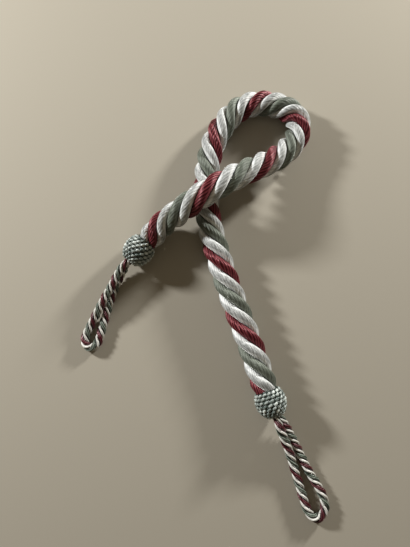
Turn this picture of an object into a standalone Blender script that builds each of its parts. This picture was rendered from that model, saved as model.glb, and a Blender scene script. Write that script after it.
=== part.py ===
"""A curtain tieback: a thick twisted rope with a woven knot and a cord hook loop at each end.

It lies on a level surface at z = 0, folded back over itself once.  All sizes are in metres, +Z is up,
and the origin is under the middle of the whole tieback.
"""
import math

import bmesh
import bpy
import numpy as np
from mathutils import Vector

# Clearance where two pieces meet, and the distance under which two points are one.
FIT_GAP = 0.0003
WELD = 1e-6
# Points in which a route is measured, for each of its own, and the angle from which an edge is sharp.
MEASURED_POINTS = 40
SHARP_EDGE = math.radians(50)

# The rope: four strands laid up left-handed.  Its radius is taken over the crowns of the strands.
ROPE_RADIUS = 0.0125
ROPE_COLUMNS = 16
ROPE_STEP = 0.004
# Where a knot's binding draws the rope in: the share of the radius that is left, over a length.
ROPE_NECK = 0.88
ROPE_NECK_LENGTH = 0.009
# Centre line of the rope, from the upper left knot, over its own second leg, round the bight and
# down to the lower right knot.
ROPE_ROUTE = [
    (-0.0540, 0.0514, 0.0135),
    (-0.0487, 0.0573, 0.0135),
    (-0.0365, 0.0690, 0.0185),
    (-0.0220, 0.0775, 0.0265),
    (-0.0080, 0.0860, 0.0345),
    (0.0070, 0.0950, 0.0380),
    (0.0220, 0.1045, 0.0360),
    (0.0370, 0.1140, 0.0305),
    (0.0515, 0.1225, 0.0240),
    (0.0660, 0.1310, 0.0180),
    (0.0790, 0.1400, 0.0140),
    (0.0890, 0.1500, 0.0122),
    (0.0955, 0.1605, 0.0118),
    (0.0975, 0.1710, 0.0118),
    (0.0945, 0.1815, 0.0118),
    (0.0865, 0.1890, 0.0118),
    (0.0755, 0.1935, 0.0118),
    (0.0630, 0.1955, 0.0118),
    (0.0500, 0.1945, 0.0118),
    (0.0380, 0.1895, 0.0118),
    (0.0280, 0.1810, 0.0118),
    (0.0200, 0.1700, 0.0118),
    (0.0130, 0.1570, 0.0118),
    (0.0080, 0.1410, 0.0118),
    (0.0050, 0.1230, 0.0118),
    (0.0040, 0.1030, 0.0118),
    (0.0055, 0.0830, 0.0118),
    (0.0090, 0.0630, 0.0118),
    (0.0145, 0.0430, 0.0118),
    (0.0210, 0.0215, 0.0118),
    (0.0285, 0.0000, 0.0118),
    (0.0360, -0.0205, 0.0118),
    (0.0435, -0.0410, 0.0118),
    (0.0505, -0.0610, 0.0122),
    (0.0570, -0.0805, 0.0135),
    (0.0599, -0.0885, 0.0135),
]
# How far the red strand has turned about the rope, in whole turns, at a distance along it.  The lay
# is tighter round the bight.
ROPE_TURNS = [
    # along, turns
    (0.000, -0.19),
    (0.074, 0.96),
    (0.147, 1.96),
    (0.212, 3.04),
    (0.266, 4.06),
    (0.324, 5.02),
    (0.387, 6.00),
    (0.451, 6.99),
    (0.519, 7.98),
    (0.576, 8.83),
]

# The hook loops: a thin four-strand cord, doubled back, with both its ends in a knot.
CORD_RADIUS = 0.0041
CORD_COLUMNS = 12
CORD_STEP = 0.0021
# The same for the ends of the cord.
CORD_NECK = 0.78
CORD_NECK_LENGTH = 0.010
UPPER_LEFT_LOOP = [
    (-0.0706, 0.0329, 0.0170),
    (-0.0738, 0.0294, 0.0170),
    (-0.0785, 0.0228, 0.0158),
    (-0.0835, 0.0140, 0.0142),
    (-0.0885, 0.0050, 0.0130),
    (-0.0937, -0.0040, 0.0115),
    (-0.0990, -0.0135, 0.0088),
    (-0.1043, -0.0230, 0.0058),
    (-0.1093, -0.0325, 0.0040),
    (-0.1123, -0.0405, 0.0037),
    (-0.1114, -0.0464, 0.0037),
    (-0.1070, -0.0492, 0.0037),
    (-0.1020, -0.0474, 0.0037),
    (-0.0990, -0.0420, 0.0037),
    (-0.0968, -0.0335, 0.0037),
    (-0.0945, -0.0240, 0.0037),
    (-0.0920, -0.0145, 0.0037),
    (-0.0893, -0.0050, 0.0039),
    (-0.0858, 0.0050, 0.0044),
    (-0.0815, 0.0150, 0.0056),
    (-0.0772, 0.0236, 0.0077),
    (-0.0734, 0.0299, 0.0096),
    (-0.0706, 0.0329, 0.0100),
]
UPPER_LEFT_TURNS = [
    # along, turns
    (0.000, -0.16),
    (0.025, 1.00),
    (0.045, 2.00),
    (0.067, 3.00),
    (0.090, 4.00),
    (0.113, 5.00),
    (0.134, 6.00),
    (0.155, 7.00),
    (0.191, 8.70),
]
LOWER_RIGHT_LOOP = [
    (0.0679, -0.1120, 0.0165),
    (0.0695, -0.1167, 0.0165),
    (0.0724, -0.1240, 0.0146),
    (0.0762, -0.1330, 0.0112),
    (0.0800, -0.1425, 0.0080),
    (0.0832, -0.1520, 0.0054),
    (0.0860, -0.1612, 0.0040),
    (0.0886, -0.1700, 0.0037),
    (0.0912, -0.1790, 0.0037),
    (0.0937, -0.1875, 0.0037),
    (0.0960, -0.1945, 0.0037),
    (0.0993, -0.2003, 0.0037),
    (0.1047, -0.2030, 0.0037),
    (0.1100, -0.2005, 0.0037),
    (0.1126, -0.1945, 0.0037),
    (0.1119, -0.1860, 0.0037),
    (0.1080, -0.1772, 0.0037),
    (0.1030, -0.1690, 0.0037),
    (0.0982, -0.1608, 0.0037),
    (0.0938, -0.1520, 0.0037),
    (0.0893, -0.1428, 0.0042),
    (0.0848, -0.1338, 0.0056),
    (0.0800, -0.1250, 0.0077),
    (0.0750, -0.1165, 0.0098),
    (0.0713, -0.1108, 0.0105),
]
LOWER_RIGHT_TURNS = [
    # along, turns
    (0.000, -0.27),
    (0.033, 1.00),
    (0.059, 2.00),
    (0.083, 3.00),
    (0.108, 4.00),
    (0.134, 5.00),
    (0.156, 6.00),
    (0.177, 7.00),
    (0.209, 8.45),
]

# A strand's radius as a share of the whole rope's.  A larger share gives shallower grooves.
STRAND_SHARE = 0.47
# The strands in their order round the rope, each the number of its yarn: burgundy, cream or sage.
STRAND_YARNS = (0, 1, 2, 1)
HALF_A_STRAND = math.pi / len(STRAND_YARNS)

# The woven knots: an egg cut off at both ends, the wide cut towards the rope.
KNOT_RADIUS = 0.0141
KNOT_HALF_LENGTH = 0.0160
KNOT_ROPE_CUT = math.radians(-38.5)
KNOT_LOOP_CUT = math.radians(63.0)
WEAVE_AROUND = 32
WEAVE_ROUNDS = 8
WEAVE_RELIEF = 0.0007
POINTS_PER_STITCH = 2


def yarn(name, colour, roughness):
    """A yarn's plain finish."""
    finish = bpy.data.materials.new(name)
    finish.use_nodes = True
    shader = finish.node_tree.nodes["Principled BSDF"]
    shader.inputs["Base Color"].default_value = (*colour, 1.0)
    shader.inputs["Roughness"].default_value = roughness
    shader.inputs["Metallic"].default_value = 0.0
    return finish


def smooth_through(rows, places):
    """The natural cubic curve through rows of (parameter, values...), read at the given places."""
    table = np.array(rows, dtype=float)
    at = table[:, 0]
    values = table[:, 1:]
    spans = np.diff(at)
    slopes = np.diff(values, axis=0) / spans[:, None]
    count = len(at)
    system = np.eye(count)
    bends = np.zeros_like(values)
    for row in range(1, count - 1):
        system[row, row - 1:row + 2] = spans[row - 1], 2 * (spans[row - 1] + spans[row]), spans[row]
        bends[row] = 6 * (slopes[row] - slopes[row - 1])
    bends = np.linalg.solve(system, bends)
    span = np.clip(np.searchsorted(at, places) - 1, 0, count - 2)
    width = spans[span][:, None]
    left = ((at[span + 1] - places) / spans[span])[:, None]
    right = 1 - left
    return (left * values[span] + right * values[span + 1]
            + ((left**3 - left) * bends[span] + (right**3 - right) * bends[span + 1]) * width**2 / 6)


def evenly_along(route, step):
    """Points a step apart on the smooth curve through a route, and the distance to each."""
    corners = np.array(route)
    chords = np.concatenate([[0], np.cumsum(np.linalg.norm(np.diff(corners, axis=0), axis=1))])
    fine_places = np.linspace(0, chords[-1], MEASURED_POINTS * len(route))
    fine = smooth_through(np.column_stack([chords, corners]), fine_places)
    walked = np.concatenate([[0], np.cumsum(np.linalg.norm(np.diff(fine, axis=0), axis=1))])
    along = np.linspace(0, walked[-1], round(walked[-1] / step) + 1)
    points = np.column_stack([np.interp(along, walked, fine[:, axis]) for axis in range(3)])
    return points, along


def knot_axis(rope_end, before_end):
    """The direction in which a knot sits on the rope's end, away from the rope."""
    axis = np.array(rope_end) - np.array(before_end)
    return axis / np.linalg.norm(axis)


def frames(points, first_heading, last_heading):
    """Heading, upward and sideways directions at each point of a path that lies mostly level."""
    heading = np.gradient(points, axis=0)
    heading[0] = first_heading
    heading[-1] = last_heading
    heading /= np.linalg.norm(heading, axis=1)[:, None]
    upward = np.array([0, 0, 1]) - heading * heading[:, 2:]
    upward /= np.linalg.norm(upward, axis=1)[:, None]
    return heading, upward, np.cross(heading, upward)


def drawn_in(radius, along, share, length):
    """The radius all along a cord that is drawn in at both ends, to a share of it, over a length."""
    from_end = np.minimum(along, along[-1] - along)
    return radius * (share + (1 - share) * np.clip(from_end / length, 0, 1))


def lobed(radius, angle):
    """Radius of the stranded outline at an angle from a strand's crown."""
    strand = radius * STRAND_SHARE
    offset = radius - strand
    return offset * math.cos(angle) + math.sqrt(strand**2 - (offset * math.sin(angle))**2)


def rolled(columns, stations, place, yarns_round=(0,)):
    """A closed tube: a flat grid rolled up, each point put where place(column, station) says.

    yarns_round holds the number of the yarn that each equal share of the way round is made of.
    """
    form = bmesh.new()
    bmesh.ops.create_grid(form, x_segments=columns, y_segments=stations, size=0.5)
    for face in form.faces:
        way_round = face.calc_center_median().x + 0.5
        face.material_index = yarns_round[int(way_round * len(yarns_round))]
    for point in form.verts:
        column = round((point.co.x + 0.5) * columns) % columns
        station = round((point.co.y + 0.5) * stations)
        point.co = place(column, station)
    bmesh.ops.remove_doubles(form, verts=form.verts, dist=WELD)
    close(form)
    return form


def close(form):
    """Fill every open rim with a flat face and turn all faces outwards."""
    rims = [edge for edge in form.edges if edge.is_boundary]
    bmesh.ops.holes_fill(form, edges=rims, sides=0)
    bmesh.ops.recalc_face_normals(form, faces=form.faces)


def press_flat(form):
    """Cut off what would reach below the surface, which leaves the flats that the piece rests on."""
    whole = form.verts[:] + form.edges[:] + form.faces[:]
    bmesh.ops.bisect_plane(form, geom=whole, dist=WELD, plane_co=(0, 0, 0), plane_no=(0, 0, 1),
                           clear_inner=True)
    close(form)


def finished(name, form, yarns):
    """Turn a form into a named object with its yarns' materials."""
    mesh = bpy.data.meshes.new(name)
    form.to_mesh(mesh)
    form.free()
    for finish in yarns:
        mesh.materials.append(finish)
    mesh.shade_smooth()
    mesh.set_sharp_from_angle(angle=SHARP_EDGE)
    piece = bpy.data.objects.new(name, mesh)
    bpy.context.scene.collection.objects.link(piece)
    return piece


def laid_up_cord(name, points, ends, radii, turns, columns, yarns):
    """A cord or rope as one solid, its strands' twist raised in the surface.

    ends holds its headings where it starts and where it stops, so that both cut faces lie flat
    against their knots.
    """
    heading, upward, sideways = frames(points, *ends)

    def place(column, station):
        way_round = 2 * math.pi * column / columns
        reach = lobed(radii[station], way_round % (2 * HALF_A_STRAND) - HALF_A_STRAND)
        angle = way_round - HALF_A_STRAND - 2 * math.pi * turns[station]
        side = upward[station] * math.cos(angle) + sideways[station] * math.sin(angle)
        return Vector(points[station] + side * reach)

    form = rolled(columns, len(points) - 1, place, STRAND_YARNS)
    press_flat(form)
    return finished(name, form, yarns)


def rope(first_knot, last_knot, yarns):
    """The rope itself, one continuous length from knot to knot."""
    points, along = evenly_along(ROPE_ROUTE, ROPE_STEP)
    turns = smooth_through(ROPE_TURNS, along)[:, 0]
    radii = drawn_in(ROPE_RADIUS, along, ROPE_NECK, ROPE_NECK_LENGTH)
    return laid_up_cord("main_rope", points, (-first_knot, last_knot), radii, turns, ROPE_COLUMNS, yarns)


def hook_loop(name, route, turn_table, axis, yarns):
    """A hook loop: one cord, doubled back, drawn in at both ends by the knot that it leaves along axis."""
    points, along = evenly_along(route, CORD_STEP)
    turns = smooth_through(turn_table, along)[:, 0]
    radii = drawn_in(CORD_RADIUS, along, CORD_NECK, CORD_NECK_LENGTH)
    return laid_up_cord(name, points, (axis, -axis), radii, turns, CORD_COLUMNS, yarns)


def woven_knot(name, rope_end, axis, yarns):
    """The woven knot that closes a rope end: a cut-off egg with raised stitches in every other place."""
    end = np.array(rope_end)
    upward = np.array([0.0, 0.0, 1.0])
    sideways = np.cross(axis, upward)
    middle = end + axis * (FIT_GAP - KNOT_HALF_LENGTH * math.sin(KNOT_ROPE_CUT))
    columns = WEAVE_AROUND * POINTS_PER_STITCH
    stations = WEAVE_ROUNDS * POINTS_PER_STITCH

    def place(column, station):
        tilt = KNOT_ROPE_CUT + (KNOT_LOOP_CUT - KNOT_ROPE_CUT) * station / stations
        around = 2 * math.pi * column / columns
        over = math.cos(math.pi * column / POINTS_PER_STITCH)
        stitch = over * math.sin(math.pi * station / POINTS_PER_STITCH)
        reach = KNOT_RADIUS * math.cos(tilt) + WEAVE_RELIEF * max(0.0, stitch)
        side = upward * math.cos(around) + sideways * math.sin(around)
        return Vector(middle + axis * KNOT_HALF_LENGTH * math.sin(tilt) + side * reach)

    form = rolled(columns, stations, place)
    press_flat(form)
    return finished(name, form, yarns)


def build():
    for old in list(bpy.data.objects):
        bpy.data.objects.remove(old, do_unlink=True)
    red = yarn("burgundy yarn", (0.22, 0.018, 0.030), 0.42)
    cream = yarn("cream yarn", (0.66, 0.66, 0.58), 0.70)
    sage = yarn("sage yarn", (0.24, 0.30, 0.25), 0.70)
    knot_green = yarn("dark green and white knot yarn", (0.16, 0.22, 0.19), 0.60)
    upper_left = knot_axis(ROPE_ROUTE[0], ROPE_ROUTE[1])
    lower_right = knot_axis(ROPE_ROUTE[-1], ROPE_ROUTE[-2])
    strands = [red, cream, sage]
    rope(upper_left, lower_right, strands)
    woven_knot("upper_left_knot", ROPE_ROUTE[0], upper_left, [knot_green])
    woven_knot("lower_right_knot", ROPE_ROUTE[-1], lower_right, [knot_green])
    hook_loop("upper_left_hook_loop", UPPER_LEFT_LOOP, UPPER_LEFT_TURNS, upper_left, strands)
    hook_loop("lower_right_hook_loop", LOWER_RIGHT_LOOP, LOWER_RIGHT_TURNS, lower_right, strands)


build()
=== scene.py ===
import math

import bmesh
import bpy
import numpy as np
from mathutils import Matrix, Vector


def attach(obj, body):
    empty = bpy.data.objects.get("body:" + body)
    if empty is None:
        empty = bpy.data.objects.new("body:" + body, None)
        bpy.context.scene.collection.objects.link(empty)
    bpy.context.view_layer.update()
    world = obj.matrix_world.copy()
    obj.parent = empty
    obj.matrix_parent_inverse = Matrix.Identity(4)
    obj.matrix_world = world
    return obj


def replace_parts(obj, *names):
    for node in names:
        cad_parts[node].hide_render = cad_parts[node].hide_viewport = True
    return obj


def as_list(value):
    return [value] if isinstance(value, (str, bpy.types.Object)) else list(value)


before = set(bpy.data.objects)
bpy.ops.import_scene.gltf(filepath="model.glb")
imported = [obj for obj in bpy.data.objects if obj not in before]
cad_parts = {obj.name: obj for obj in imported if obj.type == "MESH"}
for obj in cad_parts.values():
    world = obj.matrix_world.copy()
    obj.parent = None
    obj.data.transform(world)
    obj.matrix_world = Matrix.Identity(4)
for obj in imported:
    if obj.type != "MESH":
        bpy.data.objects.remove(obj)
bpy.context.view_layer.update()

# Points nearer to each other than this are one.
WELD = 1e-7
FULL_TURN = 2 * math.pi


# ---------------------------------------------------------------- camera

PICTURE_HEIGHT = 547
FOCAL_LENGTH_IN_PIXELS = 450
SENSOR = 36.0
CAMERA_PLACE = (0.0030, -0.0393, 0.4413)
CAMERA_AIM = (0.0030, 0.0210, 0.0125)


def place_camera():
    """The camera looks down steeply, with the lower edge of the picture nearer to it."""
    data = bpy.data.cameras.new("camera")
    data.sensor_width = SENSOR
    data.lens = SENSOR * FOCAL_LENGTH_IN_PIXELS / PICTURE_HEIGHT
    camera = bpy.data.objects.new("camera", data)
    bpy.context.scene.collection.objects.link(camera)
    camera.location = CAMERA_PLACE
    towards = Vector(CAMERA_AIM) - camera.location
    camera.rotation_euler = towards.to_track_quat("-Z", "Y").to_euler()
    bpy.context.scene.camera = camera


place_camera()


# ---------------------------------------------------------------- routes

# Centre line of the rope, from the upper left knot, over its own second leg, round the bight and
# down to the lower right knot.
ROPE_ROUTE = [
    (-0.0540, 0.0514, 0.0135),
    (-0.0487, 0.0573, 0.0135),
    (-0.0365, 0.0690, 0.0185),
    (-0.0220, 0.0775, 0.0265),
    (-0.0080, 0.0860, 0.0345),
    (0.0070, 0.0950, 0.0380),
    (0.0220, 0.1045, 0.0360),
    (0.0370, 0.1140, 0.0305),
    (0.0515, 0.1225, 0.0240),
    (0.0660, 0.1310, 0.0180),
    (0.0790, 0.1400, 0.0140),
    (0.0890, 0.1500, 0.0122),
    (0.0955, 0.1605, 0.0118),
    (0.0975, 0.1710, 0.0118),
    (0.0945, 0.1815, 0.0118),
    (0.0865, 0.1890, 0.0118),
    (0.0755, 0.1935, 0.0118),
    (0.0630, 0.1955, 0.0118),
    (0.0500, 0.1945, 0.0118),
    (0.0380, 0.1895, 0.0118),
    (0.0280, 0.1810, 0.0118),
    (0.0200, 0.1700, 0.0118),
    (0.0130, 0.1570, 0.0118),
    (0.0080, 0.1410, 0.0118),
    (0.0050, 0.1230, 0.0118),
    (0.0040, 0.1030, 0.0118),
    (0.0055, 0.0830, 0.0118),
    (0.0090, 0.0630, 0.0118),
    (0.0145, 0.0430, 0.0118),
    (0.0210, 0.0215, 0.0118),
    (0.0285, 0.0000, 0.0118),
    (0.0360, -0.0205, 0.0118),
    (0.0435, -0.0410, 0.0118),
    (0.0505, -0.0610, 0.0122),
    (0.0570, -0.0805, 0.0135),
    (0.0599, -0.0885, 0.0135),
]
# How far the red strand has turned about the rope, in whole turns, at a distance along it.
ROPE_TURNS = [
    # along, turns
    (0.000, -0.19),
    (0.074, 0.96),
    (0.147, 1.96),
    (0.212, 3.04),
    (0.266, 4.06),
    (0.324, 5.02),
    (0.387, 6.00),
    (0.451, 6.99),
    (0.519, 7.98),
    (0.576, 8.83),
]
UPPER_LEFT_LOOP = [
    (-0.0706, 0.0329, 0.0170),
    (-0.0738, 0.0294, 0.0170),
    (-0.0785, 0.0228, 0.0158),
    (-0.0835, 0.0140, 0.0142),
    (-0.0885, 0.0050, 0.0130),
    (-0.0937, -0.0040, 0.0115),
    (-0.0990, -0.0135, 0.0088),
    (-0.1043, -0.0230, 0.0058),
    (-0.1093, -0.0325, 0.0040),
    (-0.1123, -0.0405, 0.0037),
    (-0.1114, -0.0464, 0.0037),
    (-0.1070, -0.0492, 0.0037),
    (-0.1020, -0.0474, 0.0037),
    (-0.0990, -0.0420, 0.0037),
    (-0.0968, -0.0335, 0.0037),
    (-0.0945, -0.0240, 0.0037),
    (-0.0920, -0.0145, 0.0037),
    (-0.0893, -0.0050, 0.0039),
    (-0.0858, 0.0050, 0.0044),
    (-0.0815, 0.0150, 0.0056),
    (-0.0772, 0.0236, 0.0077),
    (-0.0734, 0.0299, 0.0096),
    (-0.0706, 0.0329, 0.0100),
]
UPPER_LEFT_TURNS = [
    # along, turns
    (0.000, -0.16),
    (0.025, 1.00),
    (0.045, 2.00),
    (0.067, 3.00),
    (0.090, 4.00),
    (0.113, 5.00),
    (0.134, 6.00),
    (0.155, 7.00),
    (0.191, 8.70),
]
LOWER_RIGHT_LOOP = [
    (0.0679, -0.1120, 0.0165),
    (0.0695, -0.1167, 0.0165),
    (0.0724, -0.1240, 0.0146),
    (0.0762, -0.1330, 0.0112),
    (0.0800, -0.1425, 0.0080),
    (0.0832, -0.1520, 0.0054),
    (0.0860, -0.1612, 0.0040),
    (0.0886, -0.1700, 0.0037),
    (0.0912, -0.1790, 0.0037),
    (0.0937, -0.1875, 0.0037),
    (0.0960, -0.1945, 0.0037),
    (0.0993, -0.2003, 0.0037),
    (0.1047, -0.2030, 0.0037),
    (0.1100, -0.2005, 0.0037),
    (0.1126, -0.1945, 0.0037),
    (0.1119, -0.1860, 0.0037),
    (0.1080, -0.1772, 0.0037),
    (0.1030, -0.1690, 0.0037),
    (0.0982, -0.1608, 0.0037),
    (0.0938, -0.1520, 0.0037),
    (0.0893, -0.1428, 0.0042),
    (0.0848, -0.1338, 0.0056),
    (0.0800, -0.1250, 0.0077),
    (0.0750, -0.1165, 0.0098),
    (0.0713, -0.1108, 0.0105),
]
LOWER_RIGHT_TURNS = [
    # along, turns
    (0.000, -0.27),
    (0.033, 1.00),
    (0.059, 2.00),
    (0.083, 3.00),
    (0.108, 4.00),
    (0.134, 5.00),
    (0.156, 6.00),
    (0.177, 7.00),
    (0.209, 8.45),
]
FINE_POINTS_EACH = 40


def smooth_through(rows, places):
    """The natural cubic curve through rows of (parameter, values...), read at the given places."""
    table = np.array(rows, dtype=float)
    at = table[:, 0]
    values = table[:, 1:]
    spans = np.diff(at)
    slopes = np.diff(values, axis=0) / spans[:, None]
    count = len(at)
    system = np.eye(count)
    bends = np.zeros_like(values)
    for row in range(1, count - 1):
        system[row, row - 1:row + 2] = spans[row - 1], 2 * (spans[row - 1] + spans[row]), spans[row]
        bends[row] = 6 * (slopes[row] - slopes[row - 1])
    bends = np.linalg.solve(system, bends)
    span = np.clip(np.searchsorted(at, places) - 1, 0, count - 2)
    width = spans[span][:, None]
    left = ((at[span + 1] - places) / spans[span])[:, None]
    right = 1 - left
    return (left * values[span] + right * values[span + 1]
            + ((left**3 - left) * bends[span] + (right**3 - right) * bends[span + 1]) * width**2 / 6)


def evenly_along(route, step):
    """Points a step apart on the smooth curve through a route, and the distance to each."""
    corners = np.array(route)
    chords = np.concatenate([[0], np.cumsum(np.linalg.norm(np.diff(corners, axis=0), axis=1))])
    places = np.linspace(0, chords[-1], FINE_POINTS_EACH * len(route))
    fine = smooth_through(np.column_stack([chords, corners]), places)
    walked = np.concatenate([[0], np.cumsum(np.linalg.norm(np.diff(fine, axis=0), axis=1))])
    along = np.linspace(0, walked[-1], round(walked[-1] / step) + 1)
    points = np.column_stack([np.interp(along, walked, fine[:, axis]) for axis in range(3)])
    return points, along


def knot_axis(rope_end, before_end):
    """The direction in which a knot sits on the rope's end, away from the rope."""
    axis = np.array(rope_end) - np.array(before_end)
    return axis / np.linalg.norm(axis)


def frames(points, first_heading, last_heading):
    """Upward and sideways directions at each point of a path that lies mostly level."""
    heading = np.gradient(points, axis=0)
    heading[0] = first_heading
    heading[-1] = last_heading
    heading /= np.linalg.norm(heading, axis=1)[:, None]
    upward = np.array([0, 0, 1]) - heading * heading[:, 2:]
    upward /= np.linalg.norm(upward, axis=1)[:, None]
    return upward, np.cross(heading, upward)


def drawn_in(along, share, length):
    """The share of its thickness that a cord has all along, where its two ends are bound into knots."""
    from_end = np.minimum(along, along[-1] - along)
    eased = np.clip(from_end / length, 0, 1)
    return share + (1 - share) * eased * eased * (3 - 2 * eased)


# ---------------------------------------------------------------- forms

def rolled(name, columns, stations, place, lay_out, cyclic=False):
    """A grid rolled up into a tube, or into a closed ring if cyclic.

    place gives the points for arrays of columns and stations and how deep each lies between its
    neighbours, lay_out their places on the yarn map.
    """
    form = bmesh.new()
    bmesh.ops.create_grid(form, x_segments=columns, y_segments=stations, size=0.5)
    mesh = bpy.data.meshes.new(name)
    form.to_mesh(mesh)
    grid = np.empty(len(mesh.vertices) * 3)
    mesh.vertices.foreach_get("co", grid)
    grid = grid.reshape(-1, 3)
    column = np.rint((grid[:, 0] + 0.5) * columns).astype(int)
    station = np.rint((grid[:, 1] + 0.5) * stations).astype(int)
    corner_points = np.empty(len(mesh.loops), dtype=int)
    mesh.loops.foreach_get("vertex_index", corner_points)
    laid_out = np.column_stack(lay_out(column, station))
    mesh.uv_layers.new(name="yarn map").uv.foreach_set("vector", laid_out[corner_points].ravel())
    points, depth = place(column % columns, station % stations if cyclic else station)
    mesh.vertices.foreach_set("co", points.ravel())
    mesh.attributes.new("depth", "FLOAT", "POINT").data.foreach_set("value", depth)
    form.clear()
    form.from_mesh(mesh)
    bmesh.ops.remove_doubles(form, verts=form.verts, dist=WELD)
    rims = [edge for edge in form.edges if edge.is_boundary]
    if rims:
        bmesh.ops.holes_fill(form, edges=rims, sides=0)
    bmesh.ops.recalc_face_normals(form, faces=form.faces)
    form.to_mesh(mesh)
    form.free()
    return mesh


def finished(name, meshes, finish):
    """One smooth object out of its meshes, with its material, riding on the tieback."""
    form = bmesh.new()
    for mesh in meshes:
        form.from_mesh(mesh)
        bpy.data.meshes.remove(mesh)
    whole = bpy.data.meshes.new(name)
    form.to_mesh(whole)
    form.free()
    whole.shade_smooth()
    whole.materials.append(finish)
    piece = bpy.data.objects.new(name, whole)
    bpy.context.scene.collection.objects.link(piece)
    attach(piece, "root")
    return piece


# A yarn has this many points over its width, and sways by this share of it.
YARN_POINTS = 6
YARN_SWAY = 0.16
YARN_SWAY_LENGTH = 0.023
YARN_SWELLS = [
    # share of its relief by which a yarn swells, length
    (0.14, 0.017),
    (0.08, 0.0061),
]


def strand(name, path, shape, yarns, seed):
    """One strand of a laid-up cord, its yarns raised and twisted the other way.

    path holds the cord's points, directions, turns and the share of its thickness; shape the
    strand's place round the cord, its middle's distance from the cord's, its half height and its
    half width; yarns their number, their relief and their turns for each of the cord's.
    """
    points, upward, sideways, along, turns, share = path
    place_round, middle, half_high, half_wide = shape
    count, relief, yarn_turns = yarns
    random = np.random.default_rng(seed)
    phases = random.uniform(0, FULL_TURN, (3, count))
    columns = count * YARN_POINTS
    angle = FULL_TURN * (place_round - turns)
    twist = FULL_TURN * yarn_turns * (turns - turns[0])

    def place(column, station):
        yarn_number = column // YARN_POINTS
        within = (column % YARN_POINTS) / YARN_POINTS
        way = along[station] * FULL_TURN
        sway = YARN_SWAY * np.sin(way / YARN_SWAY_LENGTH + phases[0, yarn_number]) / count
        swell = 0
        for (amount, length), phase in zip(YARN_SWELLS, phases[1:]):
            swell = swell + amount * np.sin(way / length + phase[yarn_number])
        crest = np.sqrt(np.clip(1 - (2 * within - 1)**2, 0, 1))
        height = relief * (crest * (1 + swell) - 1)
        around = FULL_TURN * (column / columns + sway) + twist[station]
        cosine = np.cos(around)
        sine = np.sin(around)
        high = cosine * (half_high + height)
        wide = sine * (half_wide + height)
        outward_share = np.cos(angle[station])[:, None]
        sideways_share = np.sin(angle[station])[:, None]
        outward = upward[station] * outward_share + sideways[station] * sideways_share
        across = sideways[station] * outward_share - upward[station] * sideways_share
        thick = share[station]
        place_out = ((middle + high) * thick)[:, None]
        place_across = (wide * thick)[:, None]
        found = points[station] + outward * place_out + across * place_across
        found[:, 2] = np.maximum(found[:, 2], 0.0)
        depth = 1 - np.hypot(middle + high, wide) / (middle + half_high)
        return found, depth

    def lay_out(column, station):
        return column / columns, along[station]

    return rolled(name, columns, len(points) - 1, place, lay_out)


# ---------------------------------------------------------------- finishes

def node(tree, kind, dimensions=None, group=None, **inputs):
    """A shader node with its inputs set, each to a value or to the output to link from.

    An input goes by its name, or by its number after an underscore.
    """
    made = tree.nodes.new(kind)
    if dimensions:
        made.noise_dimensions = dimensions
    if group:
        made.node_tree = group
    for key, value in inputs.items():
        socket = made.inputs[int(key[1:])] if key[0] == "_" else made.inputs[key.replace("_", " ")]
        if isinstance(value, bpy.types.NodeSocket):
            tree.links.new(value, socket)
        else:
            socket.default_value = value
    return made


def maths(tree, operation, *values, clamp=False):
    """The result of one step of arithmetic."""
    made = node(tree, "ShaderNodeMath", **{f"_{index}": value for index, value in enumerate(values)})
    made.operation = operation
    made.use_clamp = clamp
    return made.outputs[0]


def ranged(tree, value, limits, first=0.0, last=1.0, smooth=False):
    """A value that goes from first to last while the given one goes from limit to limit."""
    made = node(tree, "ShaderNodeMapRange", Value=value, From_Min=limits[0], From_Max=limits[1],
                To_Min=first, To_Max=last)
    if smooth:
        made.interpolation_type = "SMOOTHSTEP"
    return made.outputs[0]


def mixed(tree, share, first, second):
    """Two colours mixed by a share."""
    made = tree.nodes.new("ShaderNodeMix")
    made.data_type = "RGBA"
    for index, value in ((0, share), (6, first), (7, second)):
        if isinstance(value, bpy.types.NodeSocket):
            tree.links.new(value, made.inputs[index])
        elif index:
            made.inputs[index].default_value = (*value, 1.0)
        else:
            made.inputs[index].default_value = value
    return made.outputs[2]


def set_inputs(shader, values):
    """Values that are the same all over, on the shader's own sockets."""
    for name, value in values.items():
        shader.inputs[name].default_value = value


FIBRE_SCALES = [
    # fibres across a yarn, their slant and their number in a metre of its length
    (8.0, 700.0, 220.0),
    (2.0, 150.0, 240.0),
]
FIBRE_NOISE = {"Scale": 1.0, "Detail": 2.0, "Roughness": 0.6}
# How far apart in the noise two yarns lie, so that their fibres differ.
YARNS_APART = 7.31
# The groove and the crest begin and end at these shares of a yarn's width from its edge.
GROOVE_EDGES = (0.02, 0.26)
CREST_EDGES = (0.40, 0.50)
GROOVE_DEPTH = 0.6


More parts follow.
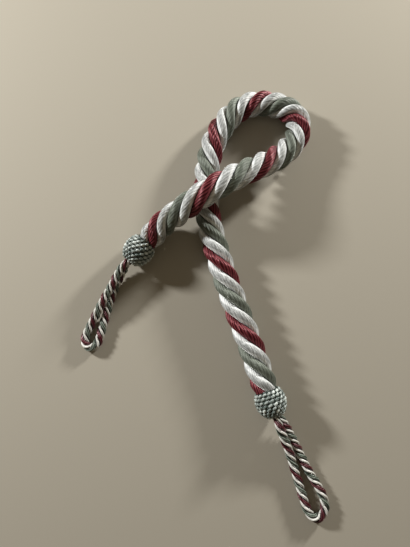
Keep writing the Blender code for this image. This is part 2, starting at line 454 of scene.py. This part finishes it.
def spun_yarn_group():
    """Masks for spun yarn: fine and coarse fibres, each yarn's groove and crest, and its tone."""
    group = bpy.data.node_groups.new("spun yarn", "ShaderNodeTree")
    group.interface.new_socket("Map", in_out="INPUT", socket_type="NodeSocketVector")
    group.interface.new_socket("Yarns", in_out="INPUT", socket_type="NodeSocketFloat")
    for name in ("Fibres", "Streaks", "Groove", "Crest", "Yarn Tone", "Height"):
        group.interface.new_socket(name, in_out="OUTPUT", socket_type="NodeSocketFloat")
    given = group.nodes.new("NodeGroupInput").outputs
    parts = node(group, "ShaderNodeSeparateXYZ", Vector=given["Map"]).outputs
    round_yarns = maths(group, "MULTIPLY", parts["X"], given["Yarns"])
    yarn_number = maths(group, "FLOOR", round_yarns)
    within = maths(group, "FRACT", round_yarns)
    tone = node(group, "ShaderNodeTexWhiteNoise", "1D", W=yarn_number)
    apart = maths(group, "MULTIPLY", yarn_number, YARNS_APART)
    found = []
    for across, slant, lengthwise in FIBRE_SCALES:
        round_place = maths(group, "MULTIPLY", within, across)
        round_place = maths(group, "MULTIPLY_ADD", parts["Y"], slant, round_place)
        way = maths(group, "MULTIPLY", parts["Y"], lengthwise)
        spot = node(group, "ShaderNodeCombineXYZ", X=round_place, Y=way, Z=apart)
        drawn = node(group, "ShaderNodeTexNoise", Vector=spot.outputs[0], **FIBRE_NOISE)
        found.append(drawn.outputs["Fac"])
    fibres, streaks = found
    edge = maths(group, "MINIMUM", within, maths(group, "SUBTRACT", 1.0, within))
    groove = ranged(group, edge, GROOVE_EDGES, 1.0, 0.0, smooth=True)
    crest = ranged(group, edge, CREST_EDGES, smooth=True)
    height = maths(group, "SUBTRACT", fibres, maths(group, "MULTIPLY", groove, GROOVE_DEPTH))
    masks = {"Fibres": fibres, "Streaks": streaks, "Groove": groove, "Crest": crest,
             "Yarn Tone": tone.outputs["Value"], "Height": height}
    given_out = group.nodes.new("NodeGroupOutput")
    for name, value in masks.items():
        group.links.new(value, given_out.inputs[name])
    return group


SPUN_YARN = spun_yarn_group()
FIBRE_RANGE = (0.35, 0.75)
STREAK_RANGE = (0.45, 0.68)
# A painted highlight near a strand's edges, from the first depth to the second.
SHOULDER_HIGHLIGHT_DEPTHS = (0.05, 0.12)
TONE_SHARE = 0.30
CLOUDS = {"Scale": 140.0, "Detail": 3.0, "Roughness": 0.6}
CLOUD_RANGE = (0.48, 0.75)
CLOUD_SHARE = 0.35
# Where the streaks are below this range, a crest's painted highlight falls to this share only.
BREAK_RANGE = (0.30, 0.55)
BROKEN_CREST_HIGHLIGHT_SHARE = 0.35
VALLEY_SHADE = 0.25
ROUGHNESS_SWING = 0.20
FIBRE_ANISOTROPY = 0.7


def yarn_material(name):
    """A new material, with its node tree, its shader and the place on the yarn map."""
    material = bpy.data.materials.new(name)
    material.use_nodes = True
    tree = material.node_tree
    yarn_map = tree.nodes.new("ShaderNodeUVMap")
    yarn_map.uv_map = "yarn map"
    return material, tree, tree.nodes["Principled BSDF"], yarn_map.outputs[0]


def clouds(tree, look):
    """Soft noise that stays in place on the piece."""
    place = tree.nodes.new("ShaderNodeTexCoord").outputs["Object"]
    return node(tree, "ShaderNodeTexNoise", Vector=place, **look).outputs["Fac"]


def yarn_finish(name, colours, yarns, contrast, valley_shade_depths, gloss, sheen, bump):
    """A yarn's material.

    colours are its shade, body and lit colours; contrast how strongly its fibres show, how dark the
    painted shade in each yarn's groove is, how bright the painted highlight on each yarn's crest is,
    how strongly its streaks show and how bright the painted highlight near a strand's edges is;
    valley_shade_depths the depths at which the painted shade between two strands begins and is full;
    gloss its roughness and its specular level; sheen its weight, its roughness and its tint; bump its
    strength and its depth.
    """
    material, tree, shader, map_place = yarn_material(name)
    spun = node(tree, "ShaderNodeGroup", group=SPUN_YARN, Map=map_place, Yarns=yarns).outputs
    shade, body, lit = colours
    fibres, groove_shade, crest_highlight, streaks, shoulder_highlight = contrast
    depth_map = tree.nodes.new("ShaderNodeAttribute")
    depth_map.attribute_name = "depth"
    depth = depth_map.outputs["Fac"]
    cloudy = clouds(tree, CLOUDS)
    colour = mixed(tree, ranged(tree, spun["Fibres"], FIBRE_RANGE, last=fibres), body, lit)
    colour = mixed(tree, ranged(tree, spun["Streaks"], STREAK_RANGE, last=streaks), colour, lit)
    # Painted highlight near each edge of the strand.
    colour = mixed(tree, ranged(tree, depth, SHOULDER_HIGHLIGHT_DEPTHS, last=shoulder_highlight), colour, lit)
    colour = mixed(tree, maths(tree, "MULTIPLY", spun["Yarn Tone"], TONE_SHARE), colour, body)
    colour = mixed(tree, ranged(tree, cloudy, CLOUD_RANGE, last=CLOUD_SHARE), colour, shade)
    # Painted shade in the groove between two yarns.
    colour = mixed(tree, maths(tree, "MULTIPLY", spun["Groove"], groove_shade), colour, shade)
    # Painted highlight along each yarn's crest, weaker where the streaks are low.
    broken = ranged(tree, spun["Streaks"], BREAK_RANGE, BROKEN_CREST_HIGHLIGHT_SHARE, crest_highlight)
    colour = mixed(tree, maths(tree, "MULTIPLY", spun["Crest"], broken), colour, lit)
    # Painted shade darkens the colour where two strands meet, from the first depth to the second.
    valley_shade_colour = tuple(VALLEY_SHADE * part for part in shade)
    colour = mixed(tree, ranged(tree, depth, valley_shade_depths, smooth=True), colour, valley_shade_colour)
    tree.links.new(colour, shader.inputs["Base Color"])
    roughness, specular = gloss
    rough = maths(tree, "MULTIPLY_ADD", spun["Streaks"], -ROUGHNESS_SWING, roughness + ROUGHNESS_SWING / 2)
    tree.links.new(rough, shader.inputs["Roughness"])
    strength, distance = bump
    raised = node(tree, "ShaderNodeBump", Strength=strength, Distance=distance, Height=spun["Height"])
    tree.links.new(raised.outputs[0], shader.inputs["Normal"])
    weight, sheen_roughness, tint = sheen
    across_fibres = tree.nodes.new("ShaderNodeTangent")
    across_fibres.direction_type = "UV_MAP"
    across_fibres.uv_map = "yarn map"
    tree.links.new(across_fibres.outputs[0], shader.inputs["Tangent"])
    set_inputs(shader, {"Specular IOR Level": specular, "Specular Tint": (*tint, 1.0),
                        "Anisotropic": FIBRE_ANISOTROPY, "Sheen Weight": weight,
                        "Sheen Roughness": sheen_roughness, "Sheen Tint": (*tint, 1.0)})
    return material


ROPE_YARNS = 14
CORD_YARNS = 6
# A yarn's colour in the shade, its own colour, and its colour where it catches the light.
BURGUNDY = ((0.006, 0.000, 0.001), (0.037, 0.001, 0.003), (0.335, 0.080, 0.094))
CORD_BURGUNDY = ((0.008, 0.000, 0.001), (0.038, 0.002, 0.005), (0.190, 0.036, 0.050))
CREAM = ((0.038, 0.040, 0.037), (0.172, 0.180, 0.177), (0.870, 0.895, 0.900))
CORD_CREAM = ((0.080, 0.078, 0.066), (0.520, 0.515, 0.480), (0.920, 0.915, 0.880))
SAGE = ((0.015, 0.018, 0.012), (0.062, 0.072, 0.058), (0.225, 0.250, 0.212))
CORD_SAGE = ((0.012, 0.022, 0.014), (0.045, 0.062, 0.047), (0.500, 0.550, 0.485))
# Painted shade between two strands begins and is full at these depths.
ROPE_VALLEY_SHADE = (0.25, 0.42)
CORD_VALLEY_SHADE = (0.08, 0.24)
CORD_CREAM_VALLEY_SHADE = (0.24, 0.40)
# A sheen is its weight, its roughness and its tint.
RED_SHEEN = (0.34, 0.30, (1.0, 0.35, 0.38))
CORD_RED_SHEEN = (0.60, 0.30, (1.0, 0.62, 0.66))
PALE_SHEEN = (1.00, 0.22, (1.0, 1.0, 0.98))
SAGE_SHEEN = (0.70, 0.25, (0.92, 0.97, 0.88))

rope_burgundy = yarn_finish(
    "burgundy rope yarn", BURGUNDY, ROPE_YARNS, contrast=(0.20, 0.90, 0.90, 0.15, 0.2),
    valley_shade_depths=ROPE_VALLEY_SHADE, gloss=(0.40, 0.55), sheen=RED_SHEEN, bump=(0.60, 0.0003))
rope_cream = yarn_finish(
    "cream rope yarn", CREAM, ROPE_YARNS, contrast=(0.45, 0.25, 0.20, 0.50, 1.0),
    valley_shade_depths=ROPE_VALLEY_SHADE, gloss=(0.50, 0.45), sheen=PALE_SHEEN, bump=(0.60, 0.0004))
rope_sage = yarn_finish(
    "sage rope yarn", SAGE, ROPE_YARNS, contrast=(0.45, 0.35, 0.25, 0.40, 0.5),
    valley_shade_depths=ROPE_VALLEY_SHADE, gloss=(0.50, 0.42), sheen=SAGE_SHEEN, bump=(0.60, 0.0004))
cord_burgundy = yarn_finish(
    "burgundy cord yarn", CORD_BURGUNDY, CORD_YARNS, contrast=(0.25, 0.90, 0.60, 0.20, 0.0),
    valley_shade_depths=CORD_VALLEY_SHADE, gloss=(0.38, 0.55), sheen=CORD_RED_SHEEN, bump=(0.60, 0.0003))
cord_cream = yarn_finish(
    "cream cord yarn", CORD_CREAM, CORD_YARNS, contrast=(0.50, 0.20, 0.30, 0.90, 0.6),
    valley_shade_depths=CORD_CREAM_VALLEY_SHADE, gloss=(0.46, 0.50), sheen=PALE_SHEEN, bump=(0.50, 0.0003))
cord_sage = yarn_finish(
    "sage cord yarn", CORD_SAGE, CORD_YARNS, contrast=(0.20, 0.90, 1.00, 0.20, 0.0),
    valley_shade_depths=CORD_VALLEY_SHADE, gloss=(0.44, 0.50), sheen=SAGE_SHEEN, bump=(0.50, 0.0003))


# ---------------------------------------------------------------- the rope and the hook loops

ROPE_STEP = 0.001
ROPE_STRANDS = [
    # name, place round, middle, half high, half wide, relief, material
    ("rope_burgundy_strand", 0.00, 0.0075, 0.0051, 0.00575, 0.00070, rope_burgundy),
    ("rope_cream_strand_1", 0.25, 0.0075, 0.0050, 0.00575, 0.00018, rope_cream),
    ("rope_sage_strand", 0.50, 0.0075, 0.0050, 0.00575, 0.00030, rope_sage),
    ("rope_cream_strand_2", 0.75, 0.0075, 0.0050, 0.00575, 0.00018, rope_cream),
]
ROPE_YARN_TURNS = 1.95
# A neck is the share of its thickness that a cord has at a knot, and how far from there it is full.
ROPE_NECK = (0.86, 0.010)
CORD_STEP = 0.0006
CORD_STRANDS = [
    # name, place round, middle, half high, half wide, relief, material
    ("burgundy_strand", 0.00, 0.00200, 0.00230, 0.00225, 0.00042, cord_burgundy),
    ("cream_strand_1", 0.25, 0.00258, 0.00132, 0.00135, 0.00012, cord_cream),
    ("sage_strand", 0.50, 0.00200, 0.00230, 0.00225, 0.00045, cord_sage),
    ("cream_strand_2", 0.75, 0.00258, 0.00132, 0.00135, 0.00012, cord_cream),
]
CORD_YARN_TURNS = 0.3
CORD_NECK = (0.78, 0.010)

upper_left_axis = knot_axis(ROPE_ROUTE[0], ROPE_ROUTE[1])
lower_right_axis = knot_axis(ROPE_ROUTE[-1], ROPE_ROUTE[-2])


def laid_up(prefix, node_name, route, turn_table, step, ends, neck, strands, yarns):
    """A cord made of its strands, each put in place of the cord's part from the model, which is hidden.

    ends are its first and last headings; yarns their number in a strand and their turns for each
    of the cord's.
    """
    points, along = evenly_along(route, step)
    turns = smooth_through(turn_table, along)[:, 0]
    upward, sideways = frames(points, *ends)
    path = (points, upward, sideways, along, turns, drawn_in(along, *neck))
    count, yarn_turns = yarns
    pieces = []
    for number, (name, *shape, relief, finish) in enumerate(strands):
        full_name = prefix + name
        mesh = strand(full_name, path, shape, (count, relief, yarn_turns), number)
        piece = finished(full_name, [mesh], finish)
        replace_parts(piece, node_name)
        pieces.append(piece)
    tuple(points[0])
    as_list(pieces[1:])


laid_up("", "main_rope", ROPE_ROUTE, ROPE_TURNS, ROPE_STEP, (-upper_left_axis, lower_right_axis),
        ROPE_NECK, ROPE_STRANDS, (ROPE_YARNS, ROPE_YARN_TURNS))
laid_up("upper_left_cord_", "upper_left_hook_loop", UPPER_LEFT_LOOP, UPPER_LEFT_TURNS, CORD_STEP,
        (upper_left_axis, -upper_left_axis), CORD_NECK, CORD_STRANDS, (CORD_YARNS, CORD_YARN_TURNS))
laid_up("lower_right_cord_", "lower_right_hook_loop", LOWER_RIGHT_LOOP, LOWER_RIGHT_TURNS, CORD_STEP,
        (lower_right_axis, -lower_right_axis), CORD_NECK, CORD_STRANDS, (CORD_YARNS, CORD_YARN_TURNS))


# ---------------------------------------------------------------- the woven knots

# A knot is an egg cut off at these tilts from its middle, where the rope and the hook loop go in.
KNOT_RADIUS = 0.0141
KNOT_HALF_LENGTH = 0.0160
KNOT_ROPE_CUT = math.radians(-38.5)
KNOT_LOOP_CUT = math.radians(63.0)
KNOT_SPAN = KNOT_LOOP_CUT - KNOT_ROPE_CUT
# The knot stands this far off the rope's end.
FIT_GAP = 0.0003
# The white yarn's rounds, and the lengths of green yarn that they go over and under.
ROUNDS = 8
LENGTHWISE = 32
STITCHES = LENGTHWISE // 2
STITCH_POINTS = 8
# A yarn's middle is its height off the egg, and its wave how far it goes up and down from there.
WHITE_HALF_WIDE = 0.00140
WHITE_HALF_THICK = 0.00100
WHITE_MIDDLE = -0.00085
WHITE_WAVE = 0.00070
WHITE_SLANT = 0.00042
WHITE_SWELL = 0.20
WHITE_POINTS = 10
# The white yarn starts to dive where its wave falls below this, and dives this steeply.
WHITE_DIVE_START = 0.45
WHITE_DIVE_POWER = 1.4
GREEN_HALF_WIDE_SHARE = 0.33
GREEN_HALF_THICK = 0.00055
GREEN_MIDDLE = -0.00105
GREEN_WAVE = 0.00060
GREEN_POINTS = 8
# The green yarn and the core go on a little past the cuts.
GREEN_START = KNOT_ROPE_CUT - math.radians(7)
GREEN_END = KNOT_LOOP_CUT + math.radians(5)
CORE_DEPTH = 0.0016
CORE_POINTS = 48
CORE_STATIONS = 24
# How far apart on the yarn map two lengths of knot yarn lie, in stitches.
MAP_APART = 20
# The plies that a length of knot yarn is spun from, and how they slant round it.
KNOT_PLIES = 6
KNOT_PLY_SLANT = 0.35
STITCH_LENGTH = 0.0055
KNOT_CLOUDS = {"Scale": 120.0, "Detail": 1.0}
KNOT_CLUSTER_RANGE = (0.46, 0.68)
KNOT_FIBRE_RANGE = (0.50, 0.75)
KNOT_FIBRE_SHARE = 0.5
KNOT_GROOVE_SHADE_SHARE = 0.65
KNOT_RELIEF = {"Strength": 0.6, "Distance": 0.0003}
KNOT_GLOSS = {"Roughness": 0.34, "Specular IOR Level": 0.9, "Sheen Weight": 0.5, "Sheen Roughness": 0.3}


def knot_finish(name, deep, body, lit, clustered):
    """Knot yarn: each stitch between its own tone and a lit colour, part white yarn, part painted
    highlight.
    """
    material, tree, shader, map_place = yarn_material(name)
    parts = node(tree, "ShaderNodeSeparateXYZ", Vector=map_place).outputs
    stitch = node(tree, "ShaderNodeTexWhiteNoise", "1D", W=maths(tree, "FLOOR", parts["Y"]))
    clusters = ranged(tree, clouds(tree, KNOT_CLOUDS), KNOT_CLUSTER_RANGE)
    own = maths(tree, "MULTIPLY", stitch.outputs["Value"], 1 - clustered)
    share = maths(tree, "MULTIPLY_ADD", clusters, clustered, own, clamp=True)
    # Painted highlight mixed with the yarn's own tone, by stitch and by cluster.
    colour = mixed(tree, share, body, lit)
    round_ply = maths(tree, "MULTIPLY_ADD", parts["Y"], KNOT_PLY_SLANT, parts["X"])
    along_ply = maths(tree, "MULTIPLY", parts["Y"], STITCH_LENGTH)
    ply = node(tree, "ShaderNodeCombineXYZ", X=round_ply, Y=along_ply).outputs[0]
    spun = node(tree, "ShaderNodeGroup", group=SPUN_YARN, Map=ply, Yarns=KNOT_PLIES).outputs
    fibre_share = ranged(tree, spun["Fibres"], KNOT_FIBRE_RANGE, last=KNOT_FIBRE_SHARE)
    colour = mixed(tree, fibre_share, colour, deep)
    # Painted shade in the grooves between the plies.
    colour = mixed(tree, maths(tree, "MULTIPLY", spun["Groove"], KNOT_GROOVE_SHADE_SHARE), colour, deep)
    tree.links.new(colour, shader.inputs["Base Color"])
    raised = node(tree, "ShaderNodeBump", Height=spun["Height"], **KNOT_RELIEF)
    tree.links.new(raised.outputs[0], shader.inputs["Normal"])
    set_inputs(shader, KNOT_GLOSS)
    return material


white_knot_yarn = knot_finish(
    "white knot yarn", deep=(0.020, 0.040, 0.035), body=(0.050, 0.085, 0.073),
    lit=(0.880, 0.950, 0.910), clustered=0.6)
green_knot_yarn = knot_finish(
    "dark green knot yarn", deep=(0.006, 0.012, 0.009), body=(0.016, 0.032, 0.026),
    lit=(0.045, 0.080, 0.066), clustered=0.3)


def egg(middle, axis):
    """The knot's egg as a function that places points on it."""
    upward = np.array([0.0, 0.0, 1.0])
    sideways = np.cross(axis, upward)

    def on_egg(tilt, around, lift, along=0.0):
        """Points lifted off the egg and moved along it, and how deep each lies."""
        side = upward * np.cos(around)[:, None] + sideways * np.sin(around)[:, None]
        slope_in = KNOT_HALF_LENGTH * np.cos(tilt)
        slope_out = KNOT_RADIUS * np.sin(tilt)
        run = np.hypot(slope_in, slope_out)
        out = KNOT_RADIUS * np.cos(tilt) + lift * slope_in / run - along * slope_out / run
        forward = KNOT_HALF_LENGTH * np.sin(tilt) + lift * slope_out / run + along * slope_in / run
        found = middle + axis * forward[:, None] + side * out[:, None]
        found[:, 2] = np.maximum(found[:, 2], 0.0)
        return found, -lift

    return on_egg


def white_round(name, number, on_egg):
    """One round of white yarn, over one length of green yarn and under the next."""
    steps = STITCHES * STITCH_POINTS
    tilt = KNOT_ROPE_CUT + KNOT_SPAN * (number + 0.5) / ROUNDS

    def place(column, station):
        around = FULL_TURN * station / steps
        phase = STITCHES * around + math.pi * number
        dive = np.clip((WHITE_DIVE_START - np.cos(phase)) / (1 + WHITE_DIVE_START), 0, 1)
        over = 1 - 2 * dive**WHITE_DIVE_POWER
        section = FULL_TURN * column / WHITE_POINTS
        lift = WHITE_MIDDLE + WHITE_WAVE * over + WHITE_HALF_THICK * np.cos(section)
        swell = 1 - WHITE_SWELL + WHITE_SWELL * over
        along = WHITE_HALF_WIDE * swell * np.sin(section)
        slant = WHITE_SLANT * np.sin(phase)
        return on_egg(np.full(len(column), tilt), around, lift, along + slant)

    def lay_out(column, station):
        return column / WHITE_POINTS, station / STITCH_POINTS + (number + 1) / 2 + MAP_APART * number

    return rolled(name, WHITE_POINTS, steps, place, lay_out, cyclic=True)


def green_length(name, number, on_egg):
    """One length of green yarn, over one round of white yarn and under the next."""
    stations = STITCH_POINTS * ROUNDS

    def place(column, station):
        tilt = GREEN_START + (GREEN_END - GREEN_START) * station / stations
        crossing = (tilt - KNOT_ROPE_CUT) / KNOT_SPAN * ROUNDS - 0.5
        over = -np.cos(math.pi * (crossing + number))
        section = FULL_TURN * column / GREEN_POINTS
        half_wide = GREEN_HALF_WIDE_SHARE * FULL_TURN * KNOT_RADIUS * np.cos(tilt) / LENGTHWISE
        lift = GREEN_MIDDLE + GREEN_WAVE * over + GREEN_HALF_THICK * np.cos(section)
        around = FULL_TURN * number / LENGTHWISE
        around = around + half_wide * np.sin(section) / (KNOT_RADIUS * np.cos(tilt))
        return on_egg(tilt, around, lift)

    def lay_out(column, station):
        return column / GREEN_POINTS, station / STITCH_POINTS + MAP_APART * number

    return rolled(name, GREEN_POINTS, stations, place, lay_out)


def knot_core(name, on_egg):
    """The dark core that shows between the yarns."""
    def place(column, station):
        tilt = GREEN_START + (GREEN_END - GREEN_START) * station / CORE_STATIONS
        return on_egg(tilt, FULL_TURN * column / CORE_POINTS, np.full(len(column), -CORE_DEPTH))

    def lay_out(column, station):
        return column / CORE_POINTS, station / 2

    return rolled(name, CORE_POINTS, CORE_STATIONS, place, lay_out)


def woven_knot(name, rope_end, axis):
    """White yarn woven round over and under dark green lengthwise yarn, on a dark core."""
    middle = np.array(rope_end) + axis * (FIT_GAP - KNOT_HALF_LENGTH * math.sin(KNOT_ROPE_CUT))
    on_egg = egg(middle, axis)
    whites = [white_round(f"{name}_white_{number}", number, on_egg) for number in range(ROUNDS)]
    greens = [green_length(f"{name}_green_{number}", number, on_egg) for number in range(LENGTHWISE)]
    greens.append(knot_core(f"{name}_core", on_egg))
    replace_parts(finished(f"{name}_green_yarn", greens, green_knot_yarn), name)
    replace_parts(finished(f"{name}_white_yarn", whites, white_knot_yarn), name)


woven_knot("upper_left_knot", ROPE_ROUTE[0], upper_left_axis)
woven_knot("lower_right_knot", ROPE_ROUTE[-1], lower_right_axis)


# ---------------------------------------------------------------- surface and light

FLOOR_REACH = 3.0
FLOOR_LEVEL = -0.0002
FLOOR_LOOK = {"Base Color": (0.345, 0.318, 0.266, 1.0), "Roughness": 0.90, "Specular IOR Level": 0.10}
LIGHT_TARGET = (0.0, 0.02, 0.0)
LIGHT_SIZE = 0.16
LIGHTS = [
    # name, place, watts, colour
    ("main light", (-1.01, 0.59, 0.52), 23.0, (1.0, 1.0, 0.98)),
    ("second light", (0.86, 0.90, 0.36), 22.5, (1.0, 0.99, 0.95)),
]
ROOM_LIGHT = {"Color": (1.0, 0.83, 0.58, 1.0), "Strength": 0.18}


def surface():
    """The plain pale surface that the tieback lies on."""
    form = bmesh.new()
    bmesh.ops.create_grid(form, x_segments=1, y_segments=1, size=FLOOR_REACH)
    mesh = bpy.data.meshes.new("surface")
    form.to_mesh(mesh)
    form.free()
    for vertex in mesh.vertices:
        vertex.co.z = FLOOR_LEVEL
    floor = bpy.data.objects.new("surface", mesh)
    bpy.context.scene.collection.objects.link(floor)
    material = bpy.data.materials.new("pale surface")
    material.use_nodes = True
    set_inputs(material.node_tree.nodes["Principled BSDF"], FLOOR_LOOK)
    mesh.materials.append(material)


def soft_light(name, place, power, colour):
    """A round area light that points at the tieback."""
    data = bpy.data.lights.new(name, "AREA")
    data.shape = "DISK"
    data.size = LIGHT_SIZE
    data.energy = power
    data.color = colour
    light = bpy.data.objects.new(name, data)
    bpy.context.scene.collection.objects.link(light)
    light.location = place
    towards = Vector(LIGHT_TARGET) - Vector(place)
    light.rotation_euler = towards.to_track_quat("-Z", "Y").to_euler()


def room():
    """The even light of the room."""
    world = bpy.data.worlds.new("room")
    world.use_nodes = True
    set_inputs(world.node_tree.nodes["Background"], ROOM_LIGHT)
    bpy.context.scene.world = world


surface()
for light in LIGHTS:
    soft_light(*light)
room()
bpy.context.scene.view_settings.view_transform = "Standard"
